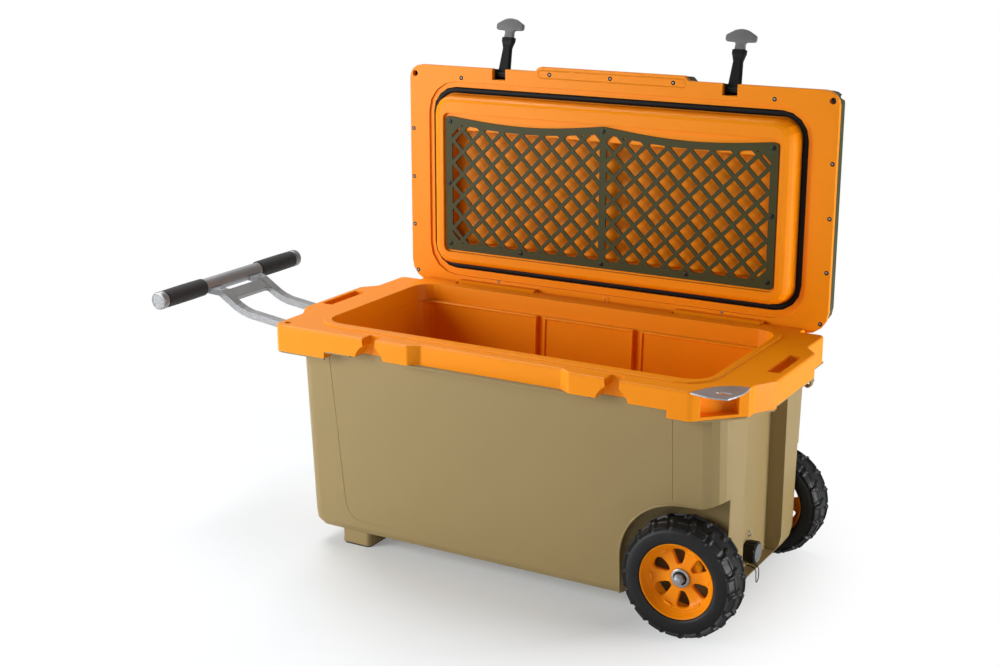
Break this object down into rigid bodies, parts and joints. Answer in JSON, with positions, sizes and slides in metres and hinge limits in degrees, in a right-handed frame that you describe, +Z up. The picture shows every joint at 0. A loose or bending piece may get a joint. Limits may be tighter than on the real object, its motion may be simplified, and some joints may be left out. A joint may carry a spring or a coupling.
{
  "type": "wheeled cooler",
  "caption": "Insulated cooler box on wheels with an open hinged lid, rubber strap latches, end grips, a folding pull handle and a drain cap.",
  "frame": {"origin": "on the floor under the middle of the bounding box", "axes": "+X towards the wheels, +Y from the latches to the lid hinge, +Z up"},
  "size_m": [1.223, 0.5296, 0.9535],
  "materials": {
    "tan_plastic": "moulded satin",
    "orange_plastic": "moulded satin",
    "olive_plastic": "moulded matte",
    "black_plastic": "matte",
    "grey_plastic": "satin",
    "grip_foam": "soft matte",
    "black_rubber": "matte",
    "tyre_rubber": "matte",
    "cast_metal": "satin cast",
    "steel": "brushed"
  },
  "bodies": {
    "tub": {"tub_shell": "tan_plastic", "liner": "orange_plastic", "opener_plate": "steel", "foot_pad_front": "black_rubber", "foot_pad_rear": "black_rubber", "hinge_pin_left": "steel", "hinge_pin_right": "steel", "axle": "steel", "washer_front": "steel", "washer_rear": "steel", "nut_front": "steel", "nut_rear": "steel", "handle_bracket_front": "cast_metal", "handle_bracket_rear": "cast_metal", "handle_pin_front": "steel", "handle_pin_rear": "steel", "drain_spout": "black_plastic", "drain_tether": "black_plastic"},
    "lid": {"lid_inner": "orange_plastic", "lid_outer": "olive_plastic", "lid_gasket": "black_rubber", "cargo_panel": "olive_plastic", "latch_pin_left": "steel", "latch_pin_right": "steel"},
    "latch_left": {"latch_left_strap": "black_rubber", "latch_left_head": "grey_plastic"},
    "latch_right": {"latch_right_strap": "black_rubber", "latch_right_head": "grey_plastic"},
    "pull_handle": {"handle_frame": "cast_metal", "handle_tube": "cast_metal", "grip_front": "grip_foam", "grip_rear": "grip_foam", "grip_cap_front": "grey_plastic", "grip_cap_rear": "grey_plastic"},
    "wheel_front": {"tyre_front": "tyre_rubber", "hub_front": "orange_plastic"},
    "wheel_rear": {"tyre_rear": "tyre_rubber", "hub_rear": "orange_plastic"},
    "drain_cap": {"drain_knob": "black_plastic", "drain_face": "grey_plastic"}
  },
  "joints": [
    {"name": "lid_hinge", "type": "hinge", "parent": "tub", "child": "lid", "pos_m": [0.13845, 0.1907, 0.4159], "axis": [1, 0, 0], "range_deg": [0, 90]},
    {"name": "latch_left_hinge", "type": "hinge", "parent": "lid", "child": "latch_left", "pos_m": [-0.10005, 0.2243, 0.8439], "axis": [1, 0, 0], "range_deg": [0, 106]},
    {"name": "latch_right_hinge", "type": "hinge", "parent": "lid", "child": "latch_right", "pos_m": [0.37695, 0.2243, 0.8439], "axis": [1, 0, 0], "range_deg": [0, 106]},
    {"name": "pull_handle_hinge", "type": "hinge", "parent": "tub", "child": "pull_handle", "pos_m": [-0.29155, -0.0273, 0.36], "axis": [0, -1, 0], "range_deg": [0, 97]},
    {"name": "wheel_front_spin", "type": "hinge", "parent": "tub", "child": "wheel_front", "pos_m": [0.5024, -0.2303, 0.10385], "axis": [0, 1, 0], "continuous": true},
    {"name": "wheel_rear_spin", "type": "hinge", "parent": "tub", "child": "wheel_rear", "pos_m": [0.5024, 0.1757, 0.10385], "axis": [0, 1, 0], "continuous": true},
    {"name": "drain_cap_turn", "type": "hinge", "parent": "tub", "child": "drain_cap", "pos_m": [0.53245, -0.0273, 0.0796], "axis": [1, 0, 0], "range_deg": [0, 720]}
  ]
}
